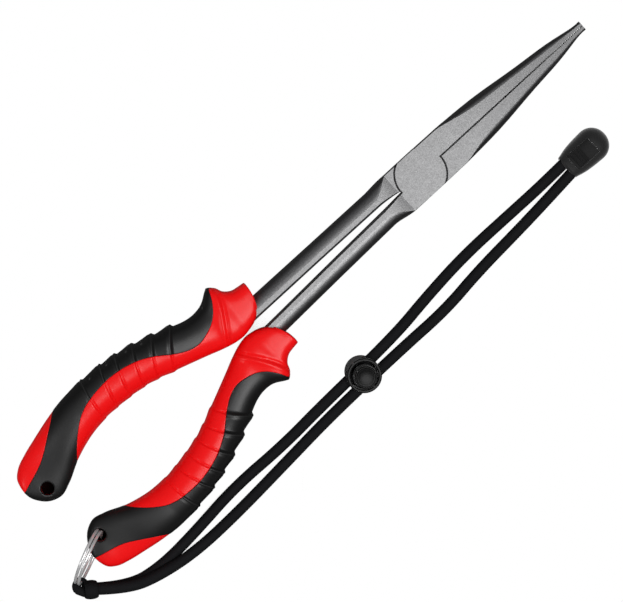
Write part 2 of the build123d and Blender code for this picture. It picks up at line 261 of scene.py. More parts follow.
def finish_of(name, dark, light, rough, metallic=0.0, grain=2500.0, cloud=90.0, bump=0.2,
              depth=0.00002, glint_colour=None, **shader_values):
    """A material whose colour and roughness wander between two values with its grain, and that can carry a
    painted highlight, a paler colour on its sharp edges."""
    material = bpy.data.materials.new(name)
    material.use_nodes = True
    tree = material.node_tree
    link = tree.links.new
    shader = tree.nodes["Principled BSDF"]
    shader.inputs["Metallic"].default_value = metallic
    for label, value in shader_values.items():
        shader.inputs[label.replace("_", " ")].default_value = value
    place = add_node(tree, "ShaderNodeTexCoord")
    grained = add_node(tree, "ShaderNodeGroup")
    grained.node_tree = GRAIN
    grained.inputs["Grain"].default_value = grain
    grained.inputs["Cloud"].default_value = cloud
    link(place.outputs["Object"], grained.inputs["Vector"])
    colour = colour_mix(tree, A=dark, B=light)
    link(grained.outputs["Speckle"], colour.inputs["Factor"])
    tinted = colour.outputs["Result"]
    # Painted highlight: a paler colour where the edges stand out.
    if glint_colour:
        edges = add_node(tree, "ShaderNodeGroup")
        edges.node_tree = GLINT_MASK
        glinted = colour_mix(tree, B=glint_colour)
        link(place.outputs["Object"], edges.inputs["Vector"])
        link(edges.outputs["Glint"], glinted.inputs["Factor"])
        link(tinted, glinted.inputs["A"])
        tinted = glinted.outputs["Result"]
    link(tinted, shader.inputs["Base Color"])
    roughness = add_node(tree, "ShaderNodeMapRange", To_Min=rough[0], To_Max=rough[1])
    link(grained.outputs["Cloud"], roughness.inputs["Value"])
    link(roughness.outputs["Result"], shader.inputs["Roughness"])
    relief = add_node(tree, "ShaderNodeBump", Strength=bump, Distance=depth)
    link(grained.outputs["Height"], relief.inputs["Height"])
    link(relief.outputs["Normal"], shader.inputs["Normal"])
    return material


def dress(node, material):
    """A CAD piece keeps its shape and takes a finish."""
    piece = nodes[node]
    piece.data.materials.clear()
    piece.data.materials.append(material)


steel = finish_of("coated_steel", (0.12, 0.12, 0.121), (0.22, 0.22, 0.222), (0.42, 0.44),
                  metallic=1.0, grain=2300, bump=0.05, depth=0.00001)
for node in ("upper_jaw_half", "lower_jaw_half", "pivot_pin"):
    dress(node, steel)


# ---- Left grip: hard core ----
# Hard red plastic moulded over the tang, satin, with a recess for the rubber, six shallow grooves
# that carry the rubber's ribs on across it, a finger guard and a flat collar panel.

MID = 8.85                       # height of the plane that the grips are symmetric about
HOLE_PLACE, HOLE_RADIUS = (-188.1, 7.8), 2.85
# Lines across the grip: inner edge, outer edge, half thickness.
ACROSS = [(-196, 12, -196, 12, 1.4), (-195.6, 9.5, -195.7, 15, 2.7), (-194.2, 6.8, -194.6, 18.2, 3.4),
          (-191.5, 3.9, -191.5, 21, 3.9), (-186.3, 2, -186, 23.3, 4.4), (-180.6, 3.7, -179.5, 25.2, 5.3),
          (-172.2, 7.9, -169.5, 27.8, 7.0), (-162.1, 11.2, -159.7, 29.4, 8.1),
          (-153, 12.6, -150.2, 29.5, 8.45), (-146.5, 12.6, -141, 29, 8.45),
          (-140, 12.2, -134, 28, 8.4), (-133.5, 11.4, -126.5, 26.3, 8.2),
          (-127.5, 10, -118.5, 23.9, 7.9), (-121, 7.9, -111, 21.4, 7.5),
          (-114.5, 5.8, -105.5, 19.6, 7.15), (-107.5, 3.5, -100.5, 19.2, 6.9),
          (-101, 1.3, -96, 20.3, 6.9), (-96, 0.1, -92, 22.8, 7.5), (-92.5, -0.2, -90.6, 23.1, 7.35),
          (-89.5, 0.2, -88.4, 21.2, 6.9), (-87, 0.8, -87, 18.2, 6.85), (-85, 1.6, -84.3, 16.1, 6.8),
          (-83.3, 2.6, -81.5, 15.5, 6.7), (-82.3, 3.9, -79.3, 15.2, 6.5)]
RIB_LINES = {8: (0.7, 1.0), 9: (0.9, 1.1), 10: (1.1, 1.5), 11: (1.4, 2.2), 12: (1.5, 2.2), 13: (1.7, 2.4)}
RUBBER_EDGE = [(-174.8, 5.2), (-172.2, 8.2), (-167.7, 13), (-163.7, 16.6), (-159.7, 19.5), (-155.6, 21.1),
               (-147.6, 22.7), (-139, 22.9), (-131.5, 21.5), (-123.4, 17.9), (-119.4, 15), (-115.3, 12),
               (-112.1, 10.4), (-108.9, 9.5), (-105.6, 9.5), (-102.4, 10.4), (-99.2, 11.6), (-96, 13.8),
               (-93.5, 16.6), (-91.5, 19.9), (-90.3, 22.3), (-89.3, 25)]
TAIL_EDGE = [(-197, 12), (-191.9, 13.8), (-187.1, 15.4), (-182.3, 17.5), (-177.4, 20.7), (-173.4, 23.5),
             (-169.4, 26.3), (-166.8, 28.3), (-163, 31.2)]
GUARD_LINE = [(-86.9, 22.5), (-87.8, 20.1), (-90.1, 14.8), (-95.7, 5.9), (-98.6, 1.6)]


def along(knots, values, places):
    """A smooth curve through the values at the knots, read at the places."""
    knots, values = np.asarray(knots, float), np.asarray(values, float)
    values = values.reshape(len(knots), -1)
    gaps = np.diff(knots)[:, None]
    slopes = np.diff(values, axis=0) / gaps
    lean = np.vstack([slopes[:1], (slopes[:-1] * gaps[1:] + slopes[1:] * gaps[:-1])
                      / (gaps[1:] + gaps[:-1]), slopes[-1:]])
    cell = np.clip(np.searchsorted(knots, places, side="right") - 1, 0, len(knots) - 2)
    gap = gaps[cell]
    t = ((places - knots[cell]) / gap[:, 0])[:, None]
    return ((2 * t**3 - 3 * t**2 + 1) * values[cell] + (t**3 - 2 * t**2 + t) * gap * lean[cell]
            + (3 * t**2 - 2 * t**3) * values[cell + 1] + (t**3 - t**2) * gap * lean[cell + 1])


def smooth_line(points, step=0.4):
    """A smooth line through the points, as closely spaced places."""
    points = np.array(points, float)
    knots = np.concatenate([[0], np.cumsum(np.linalg.norm(np.diff(points, axis=0), axis=1))])
    return along(knots, points, np.linspace(0, knots[-1], int(knots[-1] / step) + 2))


def crossing(start, end, line, missing):
    """How far from start to end a smooth line is met, as a share, or missing."""
    a, b = line[:-1], np.diff(line, axis=0)
    way = end - start
    area = way[0] * b[:, 1] - way[1] * b[:, 0]
    area[np.abs(area) < 1e-9] = 1e-9
    gap = a - start
    share = (gap[:, 0] * b[:, 1] - gap[:, 1] * b[:, 0]) / area
    on_line = (gap[:, 0] * way[1] - gap[:, 1] * way[0]) / area
    met = share[(on_line >= 0) & (on_line <= 1) & (share >= 0) & (share <= 1)]
    return met[0] if len(met) else missing


def soften(values, width):
    """Values averaged with their neighbours."""
    padded = np.pad(values, width, mode="edge")
    kernel = np.hanning(2 * width + 1)
    return np.convolve(padded, kernel / kernel.sum(), "valid")


def ease(t):
    """A gentle step from 0 to 1."""
    t = np.clip(t, 0, 1)
    return t * t * (3 - 2 * t)


def grip_surface():
    """The smooth skin of the grip: for each line across it, rows over the top from the inner to
    the outer edge, in three zones (inner plastic, rubber, tail plastic)."""
    lines = np.array(ACROSS, float)
    moves = np.maximum(np.linalg.norm(np.diff(lines[:, :2], axis=0), axis=1),
                       np.linalg.norm(np.diff(lines[:, 2:4], axis=0), axis=1))
    knots = np.concatenate([[0], np.cumsum(moves)])
    places = np.linspace(0, knots[-1], 430)
    smooth = along(knots, lines, places)
    inner, outer, half = smooth[:, :2], smooth[:, 2:4], smooth[:, 4]
    power = 2.35 + 1.6 * ease((places - knots[15]) / (knots[19] - knots[15]))
    edge, tail = smooth_line(RUBBER_EDGE), smooth_line(TAIL_EDGE)
    first = np.array([crossing(a, b, edge, 0.0 if a[0] < -171 else 1.0) for a, b in zip(inner, outer)])
    last = np.array([crossing(a, b, tail, 1.0) for a, b in zip(inner, outer)])
    first, last = np.minimum(first, last), np.maximum(first, last)
    return knots, places, inner, outer, half, power, first, last


SEAM_ROWS = np.array([0, 0.05, 0.12, 0.22, 0.36, 0.6])    # distances of the rows beside a seam


def zone_rows(width, stretch, count, seam_low, seam_high):
    """Distances from the start of a zone: close together at its seams, even between."""
    ends = []
    for at_seam, factor in ((seam_low, stretch[0]), (seam_high, stretch[1])):
        if at_seam:
            ends.append(np.minimum(SEAM_ROWS * factor, width * np.linspace(0, 0.3, len(SEAM_ROWS))))
        else:
            ends.append(np.linspace(0, 0.08, len(SEAM_ROWS)) * width)
    start, stop = ends
    middle = np.linspace(start[-1], width - stop[-1], count - 2 * len(SEAM_ROWS) + 2)
    return np.concatenate([start[:-1], middle, (width - stop[:-1])[::-1]])


INNER_ROWS, RUBBER_ROWS, TAIL_ROWS = 30, 46, 24
FAR = 99                         # stands for the distance to a seam that isn't there


def grip_skin():
    """Points, outward directions and distances to the seams on the upper side of the left grip."""
    knots, places, inner, outer, half, power, first, last = grip_surface()
    turn = np.linspace(0, np.pi, 361)
    wide, tall = -np.cos(turn), np.sin(turn)
    angle_first = np.arccos(-np.sign(2 * first - 1) * np.abs(2 * first - 1) ** (power / 2))
    angle_last = np.arccos(-np.sign(2 * last - 1) * np.abs(2 * last - 1) ** (power / 2))
    angle_first, angle_last = soften(angle_first, 5), soften(angle_last, 5)
    spans, arcs = [], []
    for i in range(len(places)):
        chord = np.linalg.norm(outer[i] - inner[i]) / 2
        u = np.sign(wide) * np.abs(wide) ** (2 / power[i]) * chord
        w = tall ** (2 / power[i]) * half[i]
        arc = np.concatenate([[0], np.cumsum(np.hypot(np.diff(u), np.diff(w)))])
        arcs.append(arc)
        spans.append((np.interp(angle_first[i], turn, arc), np.interp(angle_last[i], turn, arc), arc[-1]))
    spans = np.array(spans)
    step = np.gradient(places)
    stretch = np.clip(np.sqrt(1 + (np.gradient(spans[:, :2], axis=0) / step[:, None]) ** 2), 1, 4)
    skin = {"points": [], "out": [], "seam": [], "share": [], "station": []}
    for i, place in enumerate(places):
        begin, stop, total = spans[i]
        rows = np.concatenate([
            zone_rows(begin, (1, stretch[i, 0]), INNER_ROWS, False, begin > 0.01),
            begin + zone_rows(stop - begin, stretch[i], RUBBER_ROWS, begin > 0.01, total - stop > 0.01),
            stop + zone_rows(total - stop, (stretch[i, 1], 1), TAIL_ROWS, total - stop > 0.01, False)])
        seam_first = np.abs(rows - begin) / stretch[i, 0] + (FAR if begin < 0.01 else 0)
        seam_last = np.abs(rows - stop) / stretch[i, 1] + (FAR if total - stop < 0.01 else 0)
        strength = np.where(seam_first < seam_last, ease(begin / 1.2), ease((total - stop) / 1.2))
        angle = np.interp(rows, arcs[i], turn)
        c, s = -np.cos(angle), np.sin(angle)
        way = outer[i] - inner[i]
        chord = max(np.linalg.norm(way) / 2, 1e-6)
        way = way / (2 * chord)
        u = np.sign(c) * np.abs(c) ** (2 / power[i])
        w = s ** (2 / power[i])
        ahead = np.array([way[1], -way[0]])
        bulge = (0.9 * ease((place - knots[19]) / (knots[-1] - knots[19]))
                 - 0.8 * ease((place - knots[7]) / 8) * ease((knots[14] - place) / 8))
        plan = (inner[i] + outer[i]) / 2 + np.outer(u * chord, way) + np.outer(bulge * (1 - u * u), ahead)
        points = np.column_stack([plan, w * half[i]])
        normal_u = np.sign(u) * np.abs(u) ** (power[i] - 1) / chord
        normal_w = w ** (power[i] - 1) / half[i]
        size = np.hypot(normal_u, normal_w) + 1e-9
        out = np.column_stack([np.outer(normal_u / size, way), normal_w / size])
        skin["points"].append(points)
        skin["out"].append(out * (0.0 if i == 0 else 1.0))
        skin["seam"].append(np.column_stack([np.minimum(seam_first, seam_last), strength]))
        skin["share"].append((u + 1) / 2)
        skin["station"].append(np.full(len(rows), place))
    return knots, {key: np.array(value) for key, value in skin.items()}


def from_line(places, line):
    """Signed distance of places from a line, positive on its right-hand side."""
    nearest = np.full(places.shape[:2], 1e9)
    signed = np.zeros(places.shape[:2])
    for start, stop in zip(line[:-1], line[1:]):
        way = stop - start
        gap = places - start
        share = np.clip((gap @ way) / (way @ way), 0, 1)
        away = gap - share[..., None] * way
        distance = np.linalg.norm(away, axis=-1)
        side = np.sign(gap[..., 1] * way[0] - gap[..., 0] * way[1])
        closer = distance < nearest
        signed = np.where(closer, side * distance, signed)
        nearest = np.minimum(nearest, distance)
    return signed


def rib_height(knots, place, drop_share):
    """Each rib climbs towards the front and drops at its line."""
    height = np.zeros_like(place)
    for number, (rise, fall) in RIB_LINES.items():
        start = knots[number - 1] + (RIB_LINES.get(number - 1, (0, 3))[1]) / 2
        stop = knots[number]
        climb = np.clip((place - start) / (stop - start), 0, 1)
        climb = climb ** 1.3 * (1 - ease((place - stop + fall / 2) / fall))
        inside = (place >= start) & (place <= stop + fall / 2)
        height = np.where(inside, rise * climb * drop_share, height)
    return height


def groove(knots, place, width):
    """A soft channel along every rib line."""
    depth = np.zeros_like(place)
    for number in RIB_LINES:
        depth += np.exp(-((place - knots[number]) / width) ** 2)
    return depth


PROUD, RECESS = 0.12, 0.9        # the rubber above the plastic, and the plastic's recess for it
RIB_DIP, GROOVE_DIP, GUARD_DIP = 0.25, 0.34, 0.55


def grip_points(kind):
    """The finished skin of the core or of the sleeve, above and below, and the smooth skin."""
    knots, skin = grip_skin()
    seam, strength = skin["seam"][..., 0], skin["seam"][..., 1]
    place, share = skin["station"], skin["share"]
    rubber = np.zeros_like(place, bool)
    rubber[:, INNER_ROWS:INNER_ROWS + RUBBER_ROWS] = True
    round_off = 0.3 if kind == "sleeve" else 0.22
    inside = np.clip(1 - seam / round_off, 0, 1)
    height = -round_off * (1 - np.sqrt(1 - inside ** 2)) * strength
    if kind == "sleeve":
        outward = ease((share - 0.15) / 0.6)
        height += PROUD + rib_height(knots, place, 0.45 + 0.55 * outward)
        height -= RIB_DIP * groove(knots, place + 1.1, 0.5)
    else:
        pocket = np.exp(-((share - 0.3) / 0.16) ** 2)
        fade = ease((share - 0.02) / 0.08)
        height -= GROOVE_DIP * groove(knots, place, 0.42) * fade * (1 + 0.9 * pocket)
        height += rib_height(knots, place, 0.28)
        top = skin["out"][..., 2]
        front = from_line(skin["points"][..., :2], smooth_line(GUARD_LINE))
        facing = ease((top - 0.3) / 0.4)
        height -= GUARD_DIP * np.exp(-(front / 0.6) ** 2) * facing
        height += (0.35 * np.exp(-((front + 1.5) / 0.9) ** 2) + 0.18 * ease(front / 0.8)) * facing
        height = np.where(rubber, -RECESS * ease(seam / 0.05 + (1 - strength)), height)
    points = skin["points"] + skin["out"] * height[..., None]
    upper, lower = points.copy(), points.copy()
    lower[..., 2] *= -1
    return upper, lower, skin


def cap_rings(rings):
    """Rings that round the front of the collar off and close it."""
    last, before = rings[-1], rings[-4]
    centre = last.mean(axis=0)
    ahead = (last - before)[:, :2].mean(axis=0)
    ahead = np.append(ahead / np.linalg.norm(ahead), 0)
    more = []
    for forward, inward in ((0.28, 0.05), (0.5, 0.18), (0.66, 0.4), (0.72, 0.8)):
        out = last - centre
        out = out / np.linalg.norm(out, axis=1)[:, None]
        more.append(last + ahead * forward - out * inward)
    return more, centre + ahead * 0.75


def to_right(points):
    """The right handle is the left one mirrored and bent a little further out behind the collar."""
    x, y = points[..., 0], points[..., 1]
    behind = np.maximum(0.0, -90.0 - x) ** 2 / (np.maximum(0.0, -90.0 - x) + 4.0)
    moved = points.copy()
    moved[..., 0] = x + 0.00025 * np.maximum(0.0, -88.0 - x) ** 2
    moved[..., 1] = -y - 0.9 - 0.11 * behind
    return moved


WELD = 0.004 * MM                # points nearer than this are one


def weld(mesh, merge):
    """Joins points that coincide and turns every face outward."""
    work = bmesh.new()
    work.from_mesh(mesh)
    bmesh.ops.remove_doubles(work, verts=work.verts, dist=merge)
    bmesh.ops.dissolve_degenerate(work, edges=work.edges, dist=merge)
    bmesh.ops.recalc_face_normals(work, faces=work.faces)
    work.to_mesh(mesh)
    work.free()


def make_mesh(name, points, faces, material):
    """A smooth closed skin from points in millimetres about the pivot's foot."""
    mesh = bpy.data.meshes.new(name)
    mesh.from_pydata((np.asarray(points, float) * MM + np.array(pivot)).tolist(), [], faces)
    weld(mesh, WELD)
    mesh.shade_smooth()
    mesh.materials.append(material)
    return put(name, mesh)


def grid_faces(rows, columns, offset=0, closed=False):
    """Four-sided faces between the rows of a grid, joined round where it is closed."""
    faces = []
    wrap = columns if closed else columns - 1
    for i in range(rows - 1):
        for j in range(wrap):
            k = (j + 1) % columns
            a = offset + i * columns
            faces.append((a + j, a + k, a + columns + k, a + columns + j))
    return faces


def drill(piece, centre, radius, middle):
    """Opens a round hole down through a skin, with softly rounded lips."""
    work = bmesh.new()
    work.from_mesh(piece.data)
    centre = at(*centre)

    def away(vertex):
        return math.hypot(vertex.co.x - centre.x, vertex.co.y - centre.y)

    def draw_to(vertex, distance):
        scale = distance * MM / max(away(vertex), 1e-9)
        vertex.co.x = centre.x + (vertex.co.x - centre.x) * scale
        vertex.co.y = centre.y + (vertex.co.y - centre.y) * scale

    gone = [f for f in work.faces if sum(away(v) < radius * MM for v in f.verts) >= 2]
    bmesh.ops.delete(work, geom=gone, context="FACES")
    rim = [e for e in work.edges if e.is_boundary and all(away(v) < (radius + 1.2) * MM for v in e.verts)]
    for vertex in {v for e in rim for v in e.verts}:
        draw_to(vertex, radius)
    for inward, down in ((0.1, 0.1), (0.22, 0.1), (0.3, 0.2), (0.32, 0.2), (0.32, None)):
        made = bmesh.ops.extrude_edge_only(work, edges=rim)["geom"]
        rim = [g for g in made if isinstance(g, bmesh.types.BMEdge)]
        for vertex in {v for e in rim for v in e.verts}:
            side = 1 if vertex.co.z > middle * MM else -1
            draw_to(vertex, radius - inward)
            vertex.co.z = middle * MM if down is None else vertex.co.z - side * down * MM
    bmesh.ops.recalc_face_normals(work, faces=work.faces)
    work.to_mesh(piece.data)
    work.free()
    piece.data.shade_smooth()


def grip_core(name, place):
    """The red core as one closed skin."""
    upper, lower, _ = grip_points("core")
    ring = np.concatenate([upper, lower[:, ::-1][:, 1:-1]], axis=1)
    rings = list(ring)
    more, nose = cap_rings(rings)
    rings = np.array(rings + more)
    points = np.vstack([rings.reshape(-1, 3), nose])
    points[:, 2] += MID
    count = rings.shape[1]
    faces = grid_faces(len(rings), count, closed=True)
    base = (len(rings) - 1) * count
    faces += [(base + j, base + (j + 1) % count, len(points) - 1) for j in range(count)]
    return make_mesh(name, place(points), faces, red_plastic)


def grip_sleeve(name, place):
    """The black sleeve: its skin above and below, turned in at the seams."""
    upper, lower, skin = grip_points("sleeve")
    rows = slice(INNER_ROWS, INNER_ROWS + RUBBER_ROWS)
    points, faces, offset = [], [], 0
    for side, sign in ((upper, 1), (lower, -1)):
        band = side[:, rows]
        out = skin["out"][:, rows].copy()
        out[..., 2] *= sign
        low = band[:, :1] - out[:, :1] * 0.8
        high = band[:, -1:] - out[:, -1:] * 0.8
        band = np.concatenate([low, band, high], axis=1)
        widths = np.linalg.norm(band[:, 1] - band[:, -2], axis=1)
        alive = widths > 0.02
        alive[0] = True
        columns = band.shape[1]
        for i in range(len(band) - 1):
            if not (alive[i] or alive[i + 1]):
                continue
            inner_open = skin["seam"][i, INNER_ROWS, 1] > 0 and skin["seam"][i, INNER_ROWS, 0] < FAR / 2
            outer_open = skin["seam"][i, INNER_ROWS + RUBBER_ROWS - 1, 0] < FAR / 2
            for j in range(columns - 1):
                if (j == 0 and not inner_open) or (j == columns - 2 and not outer_open):
                    continue
                a = offset + i * columns
                faces.append((a + j, a + j + 1, a + columns + j + 1, a + columns + j))
        points.append(band.reshape(-1, 3))
        offset += len(points[-1])
    points = np.vstack(points)
    points[:, 2] += MID
    return make_mesh(name, place(points), faces, black_rubber)


def as_drawn(points):
    """The left handle stays where it is drawn."""
    return points


red_plastic = finish_of("red_plastic", (0.88, 0.003, 0.004), (0.94, 0.005, 0.006), (0.25, 0.31),
                        grain=1600, bump=0.06, depth=0.00002, Specular_IOR_Level=0.2)
# The rubber's sharp rib edges carry a painted highlight, a paler grey.
black_rubber = finish_of("black_rubber", (0.004, 0.004, 0.004), (0.009, 0.009, 0.009), (0.36, 0.46),
                         grain=3200, bump=0.25, depth=0.00002, glint_colour=(0.09, 0.09, 0.09),
                         Specular_IOR_Level=0.42)
left_core = grip_core("left_grip", as_drawn)
drill(left_core, HOLE_PLACE, HOLE_RADIUS, MID)
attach(left_core, "moving_half")
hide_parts("left_grip_core")


# ---- Left grip: rubber sleeve ----
# Matte black rubber moulded into the core's recess, a little proud of it, with six ribs.

left_sleeve = grip_sleeve("left_rubber", as_drawn)
drill(left_sleeve, HOLE_PLACE, HOLE_RADIUS, MID)
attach(left_sleeve, "moving_half")
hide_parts("left_grip_sleeve")


# ---- Right grip: hard core ----
# The same moulding on the other half, mirrored; this handle stands slightly further out.

right_hole = to_right(np.array([[*HOLE_PLACE, 0.0]]))[0, :2]
right_core = grip_core("right_grip", to_right)
drill(right_core, right_hole, HOLE_RADIUS, MID)
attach(right_core, "fixed_half")
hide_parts("right_grip_core")


# ---- Right grip: rubber sleeve ----
# The same rubber as on the left grip.

right_sleeve = grip_sleeve("right_rubber", to_right)
drill(right_sleeve, right_hole, HOLE_RADIUS, MID)
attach(right_sleeve, "fixed_half")
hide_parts("right_grip_sleeve")


# ---- Split ring ----
# Bright flat spring wire wound in two turns, passed through the hole of the right grip. The wire
# steps across from one turn to the other at the top.

RING_RADIUS, WIRE_ACROSS, WIRE_ALONG = 10.9, 1.3, 1.3
RING_LEAN, RING_LIFT, RING_INSET, RING_ASIDE = math.radians(7), 2.85, 1.45, 0.35
RING_ENDS, RING_PITCH = math.radians(-128), 1.14 * WIRE_ALONG    # where the turns end, and their step


def carried_frames(path, first_side=None):
    """Directions that are carried along a path without twisting: ahead, to the side and up."""
    path = np.asarray(path, float)
    ahead = np.gradient(path, axis=0)
    ahead /= np.linalg.norm(ahead, axis=1)[:, None]
    side = np.cross(ahead[0], (0, 0, 1.0)) if first_side is None else np.asarray(first_side, float)
    sides = []
    for direction in ahead:
        side = side - direction * side.dot(direction)
        side = side / np.linalg.norm(side)
        sides.append(side)
    sides = np.array(sides)
    return ahead, sides, np.cross(ahead, sides)


def even(path, step):
    """The same path with points at even distances."""
    path = np.asarray(path, float)
    run = np.concatenate([[0], np.cumsum(np.linalg.norm(np.diff(path, axis=0), axis=1))])
    places = np.linspace(0, run[-1], max(int(round(run[-1] / step)), 3) + 1)
    return np.column_stack([np.interp(places, run, path[:, k]) for k in range(3)]), places


def tube_points(path, across, above, first_side=None):
    """Rings of points about a path, from how far each stands across it and above it."""
    ahead, side, over = carried_frames(path, first_side)
    return path[:, None] + side[:, None] * across[..., None] + over[:, None] * above[..., None]


def squarish(value, power):
    """Draws a sine or cosine out towards the corners of a rounded box."""
    return np.sign(value) * np.abs(value) ** power


def closed_tube(name, rings, material):
    """A tube from rings of points, closed at both ends."""
    rows, columns = rings.shape[:2]
    points = np.vstack([rings.reshape(-1, 3), rings[0].mean(axis=0), rings[-1].mean(axis=0)])
    faces = grid_faces(rows, columns, closed=True)
    start, stop = len(points) - 2, len(points) - 1
    base = (rows - 1) * columns
    for j in range(columns):
        faces.append((start, (j + 1) % columns, j))
        faces.append((stop, base + j, base + (j + 1) % columns))
    return make_mesh(name, points, faces, material)


ring_out = np.array([-0.9066, -0.422, 0.0])
ring_out /= np.linalg.norm(ring_out)
ring_beside = np.array([-ring_out[1], ring_out[0], 0.0])
ring_up = np.array([0, 0, math.cos(RING_LEAN)]) - ring_beside * math.sin(RING_LEAN)
ring_axis = np.cross(ring_out, ring_up)
ring_hole = np.array([right_hole[0], right_hole[1], MID])
ring_centre = (ring_hole + ring_out * (RING_RADIUS - RING_INSET) + ring_up * RING_LIFT
               - ring_beside * RING_ASIDE)
turn = np.linspace(math.radians(16), 4 * math.pi - math.radians(16), 420)
shift = RING_PITCH * (ease((turn - 2 * math.pi) / math.radians(24) + 0.5) - 0.5)
angle = turn + RING_ENDS
wire_path = (ring_centre + np.outer(RING_RADIUS * np.cos(angle), ring_out)
             + np.outer(RING_RADIUS * np.sin(angle), ring_up) + np.outer(shift, ring_axis))
around = np.linspace(0, 2 * np.pi, 28, endpoint=False)
across = np.tile(squarish(np.cos(around), 0.8) * (WIRE_ACROSS / 2), (len(turn), 1))
above = np.tile(squarish(np.sin(around), 0.8) * (WIRE_ALONG / 2 - 0.07), (len(turn), 1))
outward = (wire_path[0] - ring_centre) / np.linalg.norm(wire_path[0] - ring_centre)
chrome = finish_of("bright_wire", (0.80, 0.80, 0.80), (0.88, 0.88, 0.88), (0.22, 0.28), metallic=0.6,
                   grain=900, bump=0.01, depth=0.00001)
ring = closed_tube("split_ring_wire", tube_points(wire_path, across, above, outward), chrome)
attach(ring, "ring")
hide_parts("split_ring")


# ---- Lanyard cord: leg a ----
# Round black nylon cord, a braided cover over a soft core. This leg runs on the side nearer the
# pliers, from the hitch on the ring through the lock to the clip at the end.

CORD_RADIUS, STRANDS = 2.25, 14
LEG_A = [(-201.2, -33.4, 6.2), (-191.2, -42.0, 4.2), (-176.6, -44.9, 2.6), (-158, -43.9, 2.3),
         (-135, -41.4, 2.3), (-110, -42.2, 2.3), (-88, -40.5, 8.97), (-50, -39.6, 8.97),
         (-29, -37.2, 2.4), (-8, -35.3, 2.3), (16, -35.4, 2.3), (33, -35.4, 3.9), (48.2, -34.8, 4.4)]


def route(points):
    """The line of a smooth spline that the points steer, in millimetres about the pivot's foot."""
    curve = bpy.data.curves.new("route", "CURVE")
    curve.dimensions = "3D"
    spline = curve.splines.new("NURBS")
    spline.points.add(len(points) - 1)
    for knot, point in zip(spline.points, points):
        knot.co = (*at(*point), 1)
    spline.order_u = 3
    spline.use_endpoint_u = True
    spline.resolution_u = 24
    carrier = bpy.data.objects.new("route", curve)
    line = bpy.data.meshes.new_from_object(carrier)
    places = np.array([vertex.co for vertex in line.vertices])
    bpy.data.objects.remove(carrier)
    bpy.data.curves.remove(curve)
    bpy.data.meshes.remove(line)
    return (places - np.array(pivot)) / MM


def weave(around, run, radius, strands, depth):
    """How far a plain braid stands below its crowns: two families of strands, over and under."""
    width = 2 * math.pi * radius / strands
    one = around / (2 * math.pi) * strands + run / width
    other = around / (2 * math.pi) * strands - run / width
    sign = np.where((np.floor(one) + np.floor(other)) % 2 == 0, 1.0, -1.0)
    p, q = np.cos((one % 1 - 0.5) * math.pi), np.cos((other % 1 - 0.5) * math.pi)
    over = np.sqrt(p) * (0.5 + 0.5 * sign * q)
    under = np.sqrt(q) * (0.5 - 0.5 * sign * p)
    return depth * (np.maximum(over, under) - 1)


def braided(name, line, radius, step=0.25, depth=0.15, flat=(1.0, 1.0), first_side=None):
    """A braided tube along a line, with its even path and its length."""
    path, run = even(line, step)
    around = np.linspace(0, 2 * np.pi, STRANDS * 4, endpoint=False)
    theta, length = np.meshgrid(around, run)
    size = radius + weave(theta, length, radius, STRANDS, depth)
    rings = tube_points(path, np.cos(theta) * size * flat[0], np.sin(theta) * size * flat[1], first_side)
    return closed_tube(name, rings, cord_black), path, run[-1]


cord_black = finish_of("black_cord", (0.004, 0.004, 0.005), (0.010, 0.010, 0.011), (0.7, 0.85),
                       grain=4200, bump=0.3, depth=0.00003, Specular_IOR_Level=0.12)
leg_a, line_a, long_a = braided("lanyard_leg_a", route(LEG_A), CORD_RADIUS)
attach(leg_a, "lanyard")
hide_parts("cord_leg_a")


# ---- Lanyard cord: leg b ----
# The other leg of the same cord, which starts on top of leg a and lies further from the pliers.

LEG_B = [(-201.2, -33.4, 10.9), (-191.4, -42.3, 9.1), (-178.6, -46.9, 6.9), (-162, -49.8, 2.5),
         (-140, -49.5, 2.3), (-113, -47.8, 2.3), (-88, -45.7, 8.33), (-50, -45.2, 8.33),
         (-28, -46.0, 2.4), (-8, -43.5, 2.3), (14, -42.3, 2.3), (32, -40.8, 3.8), (48.2, -39.3, 4.4)]
leg_b, line_b, long_b = braided("lanyard_leg_b", route(LEG_B), CORD_RADIUS)
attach(leg_b, "lanyard")
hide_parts("cord_leg_b")


# ---- Lanyard cord: hitch on the ring ----
# The cord's fold is passed round the far side of the ring and drawn down over its own two legs,
# where it is squeezed flat.

EYE_X, EYE_Y, EYE_RADIUS, EYE_LOW, EYE_HIGH = -204.5, -29.0, 1.7, 6.8, 10.2


def eye_point(degrees):
    """A place on the fold, which climbs as it goes round the ring."""
    angle = math.radians(degrees)
    height = EYE_LOW + (EYE_HIGH - EYE_LOW) * ease((degrees + 30) / 260)
    return (EYE_X + EYE_RADIUS * math.cos(angle), EYE_Y + EYE_RADIUS * math.sin(angle), height)


eye_run = [eye_point(degrees) for degrees in np.linspace(-40, 220, 12)]
loop_line = smooth_line([(-201.0, -33.9, 6.4), (-201.6, -31.9, 6.6)] + eye_run
                        + [(-204.6, -32.2, 10.4), (-202.4, -33.9, 10.6)], 0.2)
hitch, _, _ = braided("hitch_loop", loop_line, 1.85, depth=0.12, flat=(0.82, 1.0))
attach(hitch, "lanyard")
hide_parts("hitch_knot")

BAND_REACH, BAND_HEIGHT = 2.75, 5.0        # half sizes of the band's loop
band_centre = np.array([-202.6, -32.6, 8.55])
band_along = np.array([0.80, -0.60, 0.0])
band_side = np.array([0.60, 0.80, 0.0])
band_angle = np.linspace(0, 2 * np.pi, 73)
band_line = (band_centre + np.outer(squarish(np.cos(band_angle), 0.75) * BAND_REACH, band_side)
             + np.outer(squarish(np.sin(band_angle), 0.8) * BAND_HEIGHT, (0, 0, 1))
             + np.outer(np.sin(band_angle) * 0.5, band_along))
band, _, _ = braided("hitch_band", band_line, 1.0, step=0.2, depth=0.12, flat=(2.75, 0.95),
                     first_side=band_along)
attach(band, "lanyard")


# ---- Cord lock: barrel ----
# A glossy black moulded cup with a rolled rim and finely fluted wall, slotted for the two legs.

